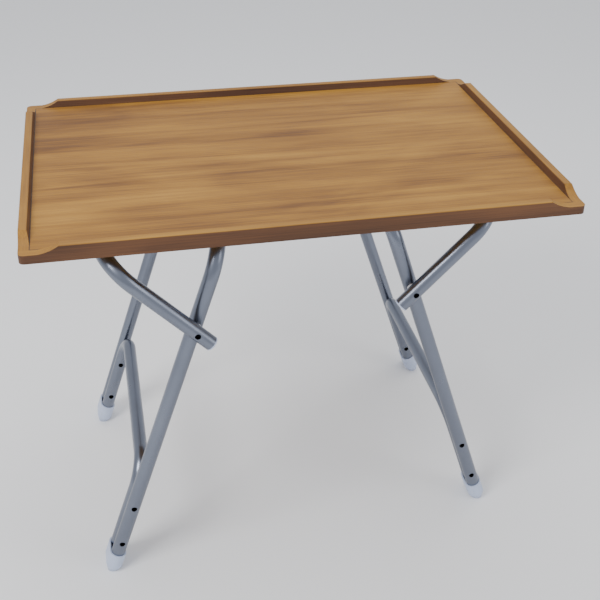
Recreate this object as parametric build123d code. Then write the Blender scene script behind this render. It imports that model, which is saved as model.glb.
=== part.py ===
from build123d import *
import math
import os

# Folding tray table: a wooden tray on two splayed bent-tube leg frames, each held by a brace.
# Millimetres, +Z up.
# Origin on the floor under the middle of the tray, +X along its length.

# Driving dimensions: tray
LENGTH = 880.0
WIDTH = 600.0
UNDERSIDE = 674.0  # height of the board's lower face above the floor
BOARD = 14.0
RAIL_RISE = 12.0  # rail top above the board's upper face
RAIL_WIDTH = 16.0
RAIL_TOP_WIDTH = 13.0
SCOOP_START = 60.0  # where each rail begins to fall towards its corner
LIP_LENGTH = 28.0  # level lip left at each corner
CORNER_RADIUS = 9.0
RAIL_EDGE = 2.0

# Driving dimensions: tube frames
TUBE = 25.0
TUBE_WALL = 1.5
BEND = 62.0  # centre-line radius of the crossbar bends
STRETCHER_BEND = 45.0
HALF_SPREAD = 234.0  # half the distance between a frame's two leg axes
BAR_DROP = 16.5  # crossbar axis below the board's lower face
FOOT_REACH = 364.0  # leg axis at the floor, from the table's middle
LEG_LEAN = 18.9  # degrees from upright
PIVOT_BELOW = 141.5  # brace pivot below the crossbar axes
BRACE_TILT = 46.0  # degrees from level
BRACE_TAIL = 31.0  # brace tube past its pivot
STRETCHER_UP = 222.0  # stretcher crossbar, measured up the leg from the floor
RIVET_LOW = 71.0
RIVET_HIGH = 156.0

# Clearances and small parts
SPACER = 1.2  # gap between a leg and its brace, filled by the spacer washer
STRETCHER_GAP = 0.3
PASS_GAP = 0.8  # between one frame's boots and the other frame's legs as they pass
FOOT_END = 13.0  # tube ends stop this far above the floor, along the leg
RIVET_R = 4.0
ACCESS_R = 5.0
PIN_CLEARANCE = 0.05
SLEEVE_WALL = 1.2
SLEEVE_LENGTH = 34.0
SLEEVE_CLEARANCE = 0.08
SLEEVE_MARGIN = 5.0  # straight crossbar left between a sleeve and the bend
CLIP_WALL = 4.0
CLIP_LENGTH = 30.0
CLIP_CLEARANCE = 0.4
CLIP_FLANGE = 24.0  # mounting flange past the clip's ring
FLANGE_THICKNESS = 5.0
SCREW_R = 2.0
SCREW_HEAD_R = 4.2
FOOT_WALL = 2.6
FOOT_LENGTH = 46.0
FOOT_NOSE = 20.0
FOOT_TAPER = 24.0
RIVET_HEAD = 1.6
RIVET_HEAD_R = 4.7  # head seats where it spans this far round the tube's bore
LEG_HEAD_GAP = 0.4  # between the pivot rivet's head and the leg's wall
SPACER_R = 9.0
SPACER_RUN = 0.3  # spacer's clearance to the leg
PLUG_RIM = 2.5
PLUG_SHANK = 14.0
SCREW_LENGTH = 15.0
SCREW_SPREAD = 8.0
SADDLE_DROP = 6.0  # brace saddle's inner wall below the bar's axis

BOTTOM = (Align.CENTER, Align.CENTER, Align.MIN)
HUNG = (Align.CENTER, Align.CENTER, Align.MAX)
RADIUS = TUBE / 2
SLEEVE_R = RADIUS + SLEEVE_WALL
BORE = RADIUS - TUBE_WALL
BRACE_PITCH = TUBE + SPACER
STRETCHER_PITCH = TUBE + STRETCHER_GAP
SIDE_SHIFT = (STRETCHER_PITCH + TUBE + FOOT_WALL + PASS_GAP) / 2  # right frame back, left frame forward
CLIP_SPREAD = HALF_SPREAD - BEND - SLEEVE_LENGTH / 2 - SLEEVE_MARGIN
BAR_Z = UNDERSIDE - BAR_DROP
PIVOT_HEIGHT = BAR_Z - PIVOT_BELOW
LEAN = math.radians(LEG_LEAN)
TILT = math.radians(BRACE_TILT)
TOP_X = FOOT_REACH - BAR_Z * math.tan(LEAN)
PIVOT_X = FOOT_REACH - PIVOT_HEIGHT * math.tan(LEAN)
ANCHOR_X = PIVOT_X + (BAR_Z - PIVOT_HEIGHT) / math.tan(TILT)
LEG_LENGTH = BAR_Z / math.cos(LEAN)
BRACE_LENGTH = (BAR_Z - PIVOT_HEIGHT) / math.sin(TILT)
PIVOT_DOWN = (BAR_Z - PIVOT_HEIGHT) / math.cos(LEAN)

os.makedirs("parts", exist_ok=True)


def save(shape, node):
    export_step(shape, "parts/" + node + ".step")


def rod(radius, start, end):
    """Solid cylinder from start to end."""
    axis = Vector(*end) - Vector(*start)
    return Plane(origin=start, z_dir=axis) * Cylinder(radius, axis.length, align=BOTTOM)


def tube_u(half, length, bend, tail):
    """Bent tube in its own plane: crossbar along Y at x 0, arms running to x = length + tail."""
    end = length + tail
    path = FilletPolyline((end, -half), (0, -half), (0, half), (end, half), radius=bend)
    start = Plane(origin=(end, -half, 0), z_dir=(-1, 0, 0))
    return sweep(start * (Circle(RADIUS) - Circle(BORE)), path=path)


# Tray board and its four fiddle rails
def rail_section():
    """Section in the YZ plane, outer face at y 0, width towards +Y."""
    height = BOARD + RAIL_RISE
    shape = make_face(Polyline((0, 0), (RAIL_WIDTH, 0), (RAIL_WIDTH, BOARD),
                               (RAIL_TOP_WIDTH, height), (0, height), close=True))
    corners = shape.vertices().filter_by(lambda v: v.Y > height - 0.1)
    return fillet(corners, RAIL_EDGE)


def scoop_cut(length):
    """Prism along Y that takes both ends of a rail down to the lip, x measured from its middle."""
    half = length / 2
    top = BOARD + RAIL_RISE + 1
    cut = None
    for side in (-1, 1):
        lip = side * (half - LIP_LENGTH)
        start = side * (half - SCOOP_START)
        edge = side * (half + 1)
        fall = ThreePointArc((start, BOARD + RAIL_RISE),
                             ((start * 0.42 + lip * 0.58), BOARD + RAIL_RISE * 0.24), (lip, BOARD))
        rest = Polyline((lip, BOARD), (edge, BOARD), (edge, top), (start, top),
                        (start, BOARD + RAIL_RISE))
        face = Plane.XZ * make_face([fall, rest])
        prism = extrude(face, RAIL_WIDTH * 1.5, both=True)
        cut = prism if cut is None else cut + prism
    return cut


def rail(length, scoop_length):
    """Rail along X, outer face at y 0, width towards +Y, foot at z 0."""
    bar = extrude(Plane(origin=(-length / 2, 0, 0), x_dir=(0, 1, 0), z_dir=(1, 0, 0)) * rail_section(),
                  length)
    return bar - scoop_cut(scoop_length)


# One side's frame, built for the right and placed in leg and brace axes
def leg_place(middle):
    """Plane whose X runs down the right leg from its crossbar and whose Y is the table's Y."""
    return Plane(origin=(TOP_X, middle, BAR_Z), x_dir=(math.sin(LEAN), 0, -math.cos(LEAN)),
                 z_dir=(math.cos(LEAN), 0, math.sin(LEAN)))


def brace_place(middle):
    """Plane whose X runs down the right brace from its crossbar."""
    return Plane(origin=(ANCHOR_X, middle, BAR_Z), x_dir=(-math.cos(TILT), 0, -math.sin(TILT)),
                 z_dir=(-math.sin(TILT), 0, math.cos(TILT)))


def cross_hole(x, y_from, y_to, radius):
    return rod(radius, (x, y_from, 0), (x, y_to, 0))


def leg_tube():
    """Leg frame with an access hole in each outer wall and a rivet hole in each inner wall."""
    shape = tube_u(HALF_SPREAD, LEG_LENGTH, BEND, -FOOT_END)
    for side in (-1, 1):
        outer = side * (HALF_SPREAD + RADIUS + 1)
        axis = side * HALF_SPREAD
        inner = side * (HALF_SPREAD - RADIUS - 1)
        for up in (RIVET_LOW, RIVET_HIGH):
            shape -= cross_hole(LEG_LENGTH - up, outer, axis, ACCESS_R)
            shape -= cross_hole(LEG_LENGTH - up, axis, inner, RIVET_R)
        shape -= cross_hole(PIVOT_DOWN, axis, outer, RIVET_R + PIN_CLEARANCE)
    return shape


def stretcher_tube():
    """Stretcher inside the legs: crossbar up the leg, arms down to the feet."""
    half = HALF_SPREAD - STRETCHER_PITCH
    shape = Pos(LEG_LENGTH - STRETCHER_UP, 0, 0) * tube_u(half, STRETCHER_UP, STRETCHER_BEND, -FOOT_END)
    for side in (-1, 1):
        for up in (RIVET_LOW, RIVET_HIGH):
            x = LEG_LENGTH - up
            shape -= cross_hole(x, side * half, side * (half + RADIUS + 1), RIVET_R)
            shape -= cross_hole(x, side * (half - RADIUS - 1), side * half, ACCESS_R)
    return shape


def brace_tube():
    """Brace outside the legs, with a pivot hole inside and an access hole outside each arm."""
    half = HALF_SPREAD + BRACE_PITCH
    shape = tube_u(half, BRACE_LENGTH, BEND, BRACE_TAIL)
    for side in (-1, 1):
        axis = side * half
        shape -= cross_hole(BRACE_LENGTH, axis, side * (half + RADIUS + 1), ACCESS_R)
        shape -= cross_hole(BRACE_LENGTH, axis, side * (half - RADIUS - 1), RIVET_R)
    return shape


def rivet(x, low_wall, high_wall, shank, head):
    """Rivet along Y through two facing tube walls: shank with a flat head inside each tube."""
    body = rod(shank, (x, low_wall, 0), (x, high_wall, 0))
    for wall, way in ((low_wall, -1), (high_wall, 1)):
        body += rod(head, (x, wall, 0), (x, wall + way * RIVET_HEAD, 0))
    return body


def inner_wall(axis, way):
    """Flat seat for a rivet head just inside a tube wall that faces way."""
    return axis + way * (math.sqrt(BORE**2 - RIVET_HEAD_R**2))


def stretcher_rivets():
    shapes = []
    for side in (-1, 1):
        near = inner_wall(HALF_SPREAD, -1)
        far = inner_wall(HALF_SPREAD - STRETCHER_PITCH, 1)
        for up in (RIVET_LOW, RIVET_HIGH):
            x = LEG_LENGTH - up
            low, high = sorted((side * near, side * far))
            shapes.append(rivet(x, low, high, RIVET_R, RIVET_HEAD_R))
    return shapes


def pivot_rivets():
    """Brace pivots, in brace axes: fixed in the brace, turning in the leg's outer wall."""
    shapes = []
    for side in (-1, 1):
        far = inner_wall(HALF_SPREAD + BRACE_PITCH, -1)
        near = inner_wall(HALF_SPREAD, 1) - LEG_HEAD_GAP
        low, high = sorted((side * near, side * far))
        shapes.append(rivet(BRACE_LENGTH, low, high, RIVET_R, RIVET_HEAD_R))
    return shapes


def pivot_spacers():
    """Shaped washers between brace and leg, hollowed to sit on the brace tube."""
    shapes = []
    half = HALF_SPREAD + BRACE_PITCH
    for side in (-1, 1):
        seat = side * half
        face = side * (HALF_SPREAD + RADIUS + SPACER_RUN)
        disc = rod(SPACER_R, (BRACE_LENGTH, seat, 0), (BRACE_LENGTH, face, 0))
        disc -= rod(RADIUS, (0, seat, 0), (BRACE_LENGTH + BRACE_TAIL, seat, 0))
        disc -= rod(RIVET_R, (BRACE_LENGTH, seat, 0), (BRACE_LENGTH, face - side, 0))
        shapes.append(disc)
    return shapes


def brace_plugs():
    """End plugs in the brace tubes: a rim on the tube end and a shank inside."""
    shapes = []
    end = BRACE_LENGTH + BRACE_TAIL
    for side in (-1, 1):
        y = side * (HALF_SPREAD + BRACE_PITCH)
        rim = rod(RADIUS, (end, y, 0), (end + PLUG_RIM, y, 0))
        rim = fillet(rim.edges().filter_by(GeomType.CIRCLE).sort_by(Axis.X)[-1], PLUG_RIM / 2)
        shapes.append(rim + rod(BORE, (end - PLUG_SHANK, y, 0), (end, y, 0)))
    return shapes


def foot_outline(grow):
    """Oval round the leg tube and the stretcher arm, centred between their axes."""
    return SlotCenterToCenter(STRETCHER_PITCH, 2 * (RADIUS + grow))


def foot(side):
    """Boot round both tube ends, in leg axes: a cup with a rounded toe, flat where it stands."""
    middle = side * (HALF_SPREAD - STRETCHER_PITCH / 2)
    toe = LEG_LENGTH - FOOT_END
    cup = Plane(origin=(toe - FOOT_LENGTH + FOOT_END + 4, middle, 0), x_dir=(0, 1, 0), z_dir=(1, 0, 0))
    body = extrude(cup * foot_outline(FOOT_WALL), FOOT_LENGTH - FOOT_END - 4)
    nose_start = Plane(origin=(toe, middle, 0), x_dir=(0, 1, 0), z_dir=(1, 0, 0))
    nose = extrude(nose_start * foot_outline(FOOT_WALL), FOOT_NOSE, taper=FOOT_TAPER)
    body += nose
    body -= extrude(cup * foot_outline(0.0), FOOT_LENGTH - FOOT_END - 4)
    return body


def saddle_plate(inner, length):
    """Mounting plate of a saddle about a Y axis through the origin, reaching towards -X."""
    reach = inner + CLIP_WALL + CLIP_FLANGE
    plate = Box(reach, length, FLANGE_THICKNESS, align=(Align.MAX, Align.CENTER, Align.MAX))
    return Pos(0, 0, BAR_DROP) * plate


def leg_saddle():
    """Closed bearing block that holds a sleeve on the leg's crossbar."""
    outer = SLEEVE_R + CLIP_WALL
    block = Pos(0, 0, BAR_DROP) * Box(2 * outer, CLIP_LENGTH, BAR_DROP, align=HUNG)
    ring = Rot(90, 0, 0) * Cylinder(outer, CLIP_LENGTH)
    shape = saddle_plate(SLEEVE_R, CLIP_LENGTH) + block + ring
    shape &= Pos(0, 0, BAR_DROP) * Box(400, 400, 400, align=HUNG)
    return shape - Rot(90, 0, 0) * Cylinder(SLEEVE_R, 2 * CLIP_LENGTH)


def brace_saddle():
    """Roof and inner wall over the brace's crossbar, open below and on the outer side."""
    inner = RADIUS + CLIP_CLEARANCE
    roof = Pos(0, 0, BAR_DROP) * Box(2 * RADIUS, CLIP_LENGTH, BAR_DROP - inner, align=HUNG)
    wall = Box(inner + CLIP_WALL, CLIP_LENGTH, BAR_DROP, align=(Align.MAX, Align.CENTER, Align.MIN))
    skirt = Box(CLIP_WALL, CLIP_LENGTH, SADDLE_DROP, align=(Align.MAX, Align.CENTER, Align.MAX))
    shape = saddle_plate(inner, CLIP_LENGTH) + roof + wall + Pos(-inner, 0, 0) * skirt
    return shape - Rot(90, 0, 0) * Cylinder(inner, 2 * CLIP_LENGTH)


def screw_solid():
    """Countersunk screw on the Z axis, its head flush with the flange's lower face at z 0."""
    head = Cone(SCREW_HEAD_R, SCREW_R, SCREW_HEAD_R - SCREW_R, align=BOTTOM)
    return head + Cylinder(SCREW_R, SCREW_LENGTH, align=BOTTOM)


def mirrored(shape, flip):
    return mirror(shape, about=Plane.YZ) if flip else shape


def clips(middle, x, shape, inner):
    """Two saddles and their four screws, either side of a frame's middle."""
    screw_x = x - (inner + CLIP_WALL + CLIP_FLANGE * 0.55)
    bodies = []
    screws = []
    for way in (-1, 1):
        y = middle + way * CLIP_SPREAD
        body = Pos(x, y, BAR_Z) * shape
        for step in (-1, 1):
            place = Pos(screw_x, y + step * SCREW_SPREAD, UNDERSIDE - FLANGE_THICKNESS)
            body -= place * screw_solid()
            screws.append(place * screw_solid())
        bodies.append(body)
    return bodies, screws


def bar_sleeves(middle):
    """Sleeves fixed in the leg saddles; the leg's crossbar turns in them."""
    ring = Cylinder(SLEEVE_R, SLEEVE_LENGTH) - Cylinder(RADIUS + SLEEVE_CLEARANCE, SLEEVE_LENGTH)
    return [Pos(TOP_X, middle + way * CLIP_SPREAD, BAR_Z) * Rot(90, 0, 0) * ring for way in (-1, 1)]


def foot_in_place(middle, side):
    return leg_place(middle) * foot(side) & Box(2 * LENGTH, 2 * WIDTH, 2 * UNDERSIDE, align=BOTTOM)


def build_side(name, middle, flip):
    """Write one side's pieces, built as the right side; return its screws."""
    leg_axes = leg_place(middle)
    brace_axes = brace_place(middle)
    bearings, bearing_screws = clips(middle, TOP_X, leg_saddle(), SLEEVE_R)
    saddles, saddle_screws = clips(middle, ANCHOR_X, brace_saddle(), RADIUS + CLIP_CLEARANCE)
    screws = bearing_screws + saddle_screws
    pieces = {
        "leg_frame": leg_axes * leg_tube(),
        "stretcher": leg_axes * stretcher_tube(),
        "stretcher_rivets": leg_axes * Compound(children=stretcher_rivets()),
        "front_foot": foot_in_place(middle, -1),
        "back_foot": foot_in_place(middle, 1),
        "brace": brace_axes * brace_tube(),
        "pivot_rivets": brace_axes * Compound(children=pivot_rivets()),
        "pivot_spacers": brace_axes * Compound(children=pivot_spacers()),
        "brace_plugs": brace_axes * Compound(children=brace_plugs()),
        "bar_sleeves": Compound(children=bar_sleeves(middle)),
        "leg_saddles": Compound(children=bearings),
        "brace_saddles": Compound(children=saddles),
        "saddle_screws": Compound(children=screws),
    }
    for node, shape in pieces.items():
        save(mirrored(shape, flip), name + "_" + node)
    return [mirrored(screw, flip) for screw in screws]


def build_tray(screws):
    outline = Plane.XY.offset(UNDERSIDE - 1) * RectangleRounded(LENGTH, WIDTH, CORNER_RADIUS)
    outline = extrude(outline, BOARD + RAIL_RISE + 2)
    inner = (LENGTH - 2 * RAIL_WIDTH, WIDTH - 2 * RAIL_WIDTH)
    board = Pos(0, 0, UNDERSIDE) * Box(*inner, BOARD, align=BOTTOM)
    for screw in screws:
        board -= screw
    save(board, "tray_board")
    long_rail = rail(LENGTH, LENGTH)
    end_rail = rail(WIDTH - 2 * RAIL_WIDTH, WIDTH)
    save(outline & Pos(0, -WIDTH / 2, UNDERSIDE) * long_rail, "front_rail")
    save(outline & Pos(0, WIDTH / 2, UNDERSIDE) * Rot(0, 0, 180) * long_rail, "back_rail")
    save(Pos(-LENGTH / 2, 0, UNDERSIDE) * Rot(0, 0, -90) * end_rail, "left_rail")
    save(Pos(LENGTH / 2, 0, UNDERSIDE) * Rot(0, 0, 90) * end_rail, "right_rail")


right_screws = build_side("right", SIDE_SHIFT, False)
left_screws = build_side("left", -SIDE_SHIFT, True)
build_tray(right_screws + left_screws)
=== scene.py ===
import math

import bpy
from mathutils import Matrix, Vector

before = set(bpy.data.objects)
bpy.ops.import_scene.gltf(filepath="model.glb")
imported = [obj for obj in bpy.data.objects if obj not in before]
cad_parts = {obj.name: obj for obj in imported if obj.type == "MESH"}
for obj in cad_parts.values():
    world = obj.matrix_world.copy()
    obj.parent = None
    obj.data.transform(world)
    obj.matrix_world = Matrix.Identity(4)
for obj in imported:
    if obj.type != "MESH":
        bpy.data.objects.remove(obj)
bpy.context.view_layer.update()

# Tones along a wood's ramp, darkest first
BOARD_TONES = (
    (0.43, (0.11, 0.040, 0.004)), (0.51, (0.22, 0.092, 0.009)),
    (0.58, (0.30, 0.137, 0.014)), (0.69, (0.41, 0.205, 0.026)),
)
RAIL_TONES = (
    (0.42, (0.045, 0.017, 0.007)), (0.55, (0.085, 0.034, 0.013)), (0.70, (0.14, 0.058, 0.021)),
)
# Lighter tones for the rails' upward faces, set against the darker side tones above: painted light
# on the tops, painted shade on the sides
RAIL_TOP_PAINTED_LIGHT_TONES = (
    (0.40, (0.17, 0.070, 0.008)), (0.56, (0.29, 0.135, 0.016)),
    (0.70, (0.39, 0.20, 0.028)),
)

BOARD_HALF = (0.424, 0.284)  # half the board's length and width, where its glue line shows
GLUE_LINE = (0.0016, 0.0009)  # the line's soft start and full depth, in from the board's edge
SENSOR_WIDTH = 36.0
FOCAL_LENGTH = 60.14
CAMERA_PLACE = (-0.30133, -1.60695, 1.40099)
CAMERA_ANGLES = (11.962, -32.001, 0.600)  # yaw, pitch and roll in degrees


class Shader:
    """Short-hand for building one node material."""

    def __init__(self, name):
        self.material = bpy.data.materials.new(name)
        self.material.use_nodes = True
        self.nodes = self.material.node_tree.nodes
        self.links = self.material.node_tree.links
        self.nodes.clear()
        self.out = self.nodes.new("ShaderNodeOutputMaterial")
        self.bsdf = self.nodes.new("ShaderNodeBsdfPrincipled")
        self.link(self.bsdf.outputs["BSDF"], self.out.inputs["Surface"])
        self.place = self.nodes.new("ShaderNodeTexCoord").outputs["Object"]

    def link(self, source, target):
        self.links.new(source, target)

    def put(self, value, socket):
        if hasattr(value, "node"):
            self.link(value, socket)
        else:
            socket.default_value = value

    def scaled(self, scale, offset=(0, 0, 0)):
        node = self.nodes.new("ShaderNodeMapping")
        node.inputs["Scale"].default_value = scale
        node.inputs["Location"].default_value = offset
        self.link(self.place, node.inputs["Vector"])
        return node.outputs["Vector"]

    def noise(self, scale, detail=4.0, rough=0.55, offset=(0, 0, 0), distortion=0.0):
        node = self.nodes.new("ShaderNodeTexNoise")
        node.inputs["Scale"].default_value = 1.0
        node.inputs["Detail"].default_value = detail
        node.inputs["Roughness"].default_value = rough
        node.inputs["Distortion"].default_value = distortion
        self.link(self.scaled(scale, offset), node.inputs["Vector"])
        return node.outputs["Fac"]

    def ramp(self, fac, *stops):
        node = self.nodes.new("ShaderNodeValToRGB")
        while len(node.color_ramp.elements) < len(stops):
            node.color_ramp.elements.new(0.5)
        for element, (position, colour) in zip(node.color_ramp.elements, stops):
            element.position = position
            element.color = (*colour, 1.0)
        self.link(fac, node.inputs["Fac"])
        return node.outputs["Color"]

    def maths(self, operation, a, b=0.0):
        node = self.nodes.new("ShaderNodeMath")
        node.operation = operation
        self.put(a, node.inputs[0])
        self.put(b, node.inputs[1])
        return node.outputs[0]

    def span(self, value, low, high, to_low=0.0, to_high=1.0):
        node = self.nodes.new("ShaderNodeMapRange")
        node.clamp = True
        self.put(value, node.inputs["Value"])
        node.inputs["From Min"].default_value = low
        node.inputs["From Max"].default_value = high
        node.inputs["To Min"].default_value = to_low
        node.inputs["To Max"].default_value = to_high
        return node.outputs["Result"]

    def mix(self, fac, a, b, blend="MIX"):
        node = self.nodes.new("ShaderNodeMix")
        node.data_type = "RGBA"
        node.blend_type = blend
        self.put(fac, node.inputs[0])
        for value, socket in ((a, node.inputs[6]), (b, node.inputs[7])):
            self.put(value if hasattr(value, "node") else (*value, 1.0), socket)
        return node.outputs[2]

    def axes(self, source=None):
        node = self.nodes.new("ShaderNodeSeparateXYZ")
        self.link(source or self.place, node.inputs[0])
        return node.outputs

    def bump(self, height, distance, strength=0.4):
        node = self.nodes.new("ShaderNodeBump")
        node.inputs["Strength"].default_value = strength
        node.inputs["Distance"].default_value = distance
        self.link(height, node.inputs["Height"])
        self.link(node.outputs["Normal"], self.bsdf.inputs["Normal"])

    def set(self, **values):
        for name, value in values.items():
            self.put(value, self.bsdf.inputs[name.replace("_", " ")])


def along(axis, length, across):
    """Texture scale for grain that runs along an axis."""
    return tuple(length if i == axis else across for i in range(3))


def wood(name, axis, stops, seed, dark_edge):
    """Oiled wood whose grain runs along axis 0 or 1."""
    s = Shader(name)
    shift = (seed, seed * 0.7, seed * 0.3)
    fine = s.noise(along(axis, 7.0, 420.0), 5.0, 0.65, shift)
    band = s.noise(along(axis, 1.3, 26.0), 4.0, 0.6, shift, 0.5)
    cloud = s.noise(along(axis, 3.0, 7.0), 3.0, 0.5, shift, 0.8)
    pores = s.noise(along(axis, 38.0, 900.0), 2.0, 0.5, shift)
    tone = s.maths("ADD", s.maths("MULTIPLY", band, 0.42), s.maths("MULTIPLY", fine, 0.36))
    tone = s.maths("ADD", tone, s.maths("MULTIPLY", cloud, 0.32))
    colour = s.ramp(tone, *stops)
    colour = s.mix(s.span(pores, 0.60, 0.72, 0.0, 0.35), colour, (0.10, 0.05, 0.02))
    place = s.axes()
    if dark_edge:
        for number, limit in enumerate(BOARD_HALF):
            reach = s.maths("ABSOLUTE", place[number])
            line = s.span(reach, limit - GLUE_LINE[0], limit - GLUE_LINE[1])
            colour = s.mix(line, colour, (0.05, 0.025, 0.012))
    else:
        # Upward-facing rail surfaces blend to the lighter tones: painted light on the tops, painted
        # shade on the sides
        normal = s.nodes.new("ShaderNodeTexCoord").outputs["Normal"]
        up = s.axes(normal)[2]
        painted_top_light = s.ramp(tone, *RAIL_TOP_PAINTED_LIGHT_TONES)
        colour = s.mix(s.span(up, 0.25, 0.75), colour, painted_top_light)
    s.set(Base_Color=colour, Roughness=s.span(fine, 0.3, 0.7, 0.42, 0.58), Specular_IOR_Level=0.35)
    s.bump(s.maths("ADD", fine, s.maths("MULTIPLY", pores, -0.8)), 0.0004, 0.35)
    return s.material


def metal(name, colour, roughness, scratch):
    s = Shader(name)
    fine = s.noise((900, 900, 900), 2.0)
    cloud = s.noise((14, 14, 14), 4.0, 0.6)
    tint = tuple(c * 0.86 for c in colour)
    s.set(Base_Color=s.mix(cloud, colour, tint), Metallic=1.0,
          Roughness=s.span(cloud, 0.3, 0.7, roughness - 0.05, roughness + 0.07))
    s.bump(fine, 0.0002, scratch)
    return s.material


def plastic(name, colour, roughness, scuffed):
    s = Shader(name)
    cloud = s.noise((55, 55, 55), 5.0, 0.65)
    tint = s.mix(s.span(cloud, 0.35, 0.75, 0.0, 0.45), colour, tuple(c * 0.82 for c in colour))
    if scuffed:
        low = s.span(s.axes()[2], 0.0, 0.012, 0.45, 0.0)
        tint = s.mix(s.maths("MULTIPLY", low, cloud), tint, (0.20, 0.19, 0.18))
    s.set(Base_Color=tint, Roughness=s.span(cloud, 0.3, 0.7, roughness - 0.06, roughness + 0.08),
          Subsurface_Weight=0.12, Subsurface_Radius=(0.004, 0.004, 0.005), Subsurface_Scale=1.0)
    s.bump(cloud, 0.0003, 0.2)
    return s.material


board = wood("teak_board", 0, BOARD_TONES, 3.1, True)
rail_long = wood("teak_rail_long", 0, RAIL_TONES, 8.4, False)
rail_end = wood("teak_rail_end", 1, RAIL_TONES, 5.7, False)
tube = metal("satin_tube", (0.20, 0.22, 0.27), 0.30, 0.10)
rivet = metal("rivet", (0.22, 0.22, 0.24), 0.42, 0.10)
screw = metal("screw_steel", (0.52, 0.52, 0.52), 0.30, 0.05)
nylon = plastic("nylon", (0.74, 0.75, 0.77), 0.55, False)
boot = plastic("white_plastic", (0.50, 0.57, 0.74), 0.38, True)

by_ending = (
    ("tray_board", board), ("front_rail", rail_long), ("back_rail", rail_long),
    ("left_rail", rail_end), ("right_rail", rail_end),
    ("leg_frame", tube), ("stretcher", tube), ("brace", tube),
    ("rivets", rivet), ("screws", screw), ("foot", boot), ("plugs", boot),
    ("spacers", nylon), ("sleeves", nylon), ("saddles", nylon),
)
for name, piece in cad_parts.items():
    look = next(material for ending, material in by_ending if name.endswith(ending))
    for slot in piece.material_slots:
        slot.material = look

# Floor
bpy.ops.mesh.primitive_plane_add(size=60)
floor = bpy.context.object
floor.name = "floor"
pale = Shader("floor_paint")
pale.set(Base_Color=(0.88, 0.88, 0.88, 1.0), Roughness=0.9)
floor.data.materials.append(pale.material)

# Light
world = bpy.data.worlds.new("studio")
bpy.context.scene.world = world
world.use_nodes = True
sky = world.node_tree.nodes["Background"]
sky.inputs["Color"].default_value = (0.93, 0.95, 1.0, 1.0)
sky.inputs["Strength"].default_value = 0.9


def area(name, place, target, size, power):
    light = bpy.data.lights.new(name, "AREA")
    light.shape = "RECTANGLE"
    light.size, light.size_y = size
    light.energy = power
    lamp = bpy.data.objects.new(name, light)
    lamp.location = place
    lamp.rotation_euler = (Vector(target) - Vector(place)).to_track_quat("-Z", "Y").to_euler()
    bpy.context.collection.objects.link(lamp)


area("key", (-1.8, -1.4, 2.6), (0, 0, 0.5), (1.2, 1.2), 60)
area("fill", (2.4, -1.8, 1.6), (0, 0, 0.4), (1.4, 1.8), 16)
area("top", (0.2, 0.9, 2.8), (0, 0, 0.6), (2.0, 1.2), 22)

# Camera
yaw, pitch, roll = (math.radians(angle) for angle in CAMERA_ANGLES)
forward = Vector((math.sin(yaw) * math.cos(pitch), math.cos(yaw) * math.cos(pitch), math.sin(pitch)))
level = Vector((math.cos(yaw), -math.sin(yaw), 0.0))
upright = level.cross(forward)
right = level * math.cos(roll) + upright * math.sin(roll)
up = -level * math.sin(roll) + upright * math.cos(roll)
lens = bpy.data.cameras.new("camera")
lens.sensor_fit = "HORIZONTAL"
lens.sensor_width = SENSOR_WIDTH
lens.lens = FOCAL_LENGTH
lens.dof.use_dof = False
lens.clip_end = 100.0
camera = bpy.data.objects.new("camera", lens)
camera.matrix_world = Matrix((
    (right.x, up.x, -forward.x, CAMERA_PLACE[0]),
    (right.y, up.y, -forward.y, CAMERA_PLACE[1]),
    (right.z, up.z, -forward.z, CAMERA_PLACE[2]),
    (0.0, 0.0, 0.0, 1.0),
))
bpy.context.collection.objects.link(camera)
bpy.context.scene.camera = camera
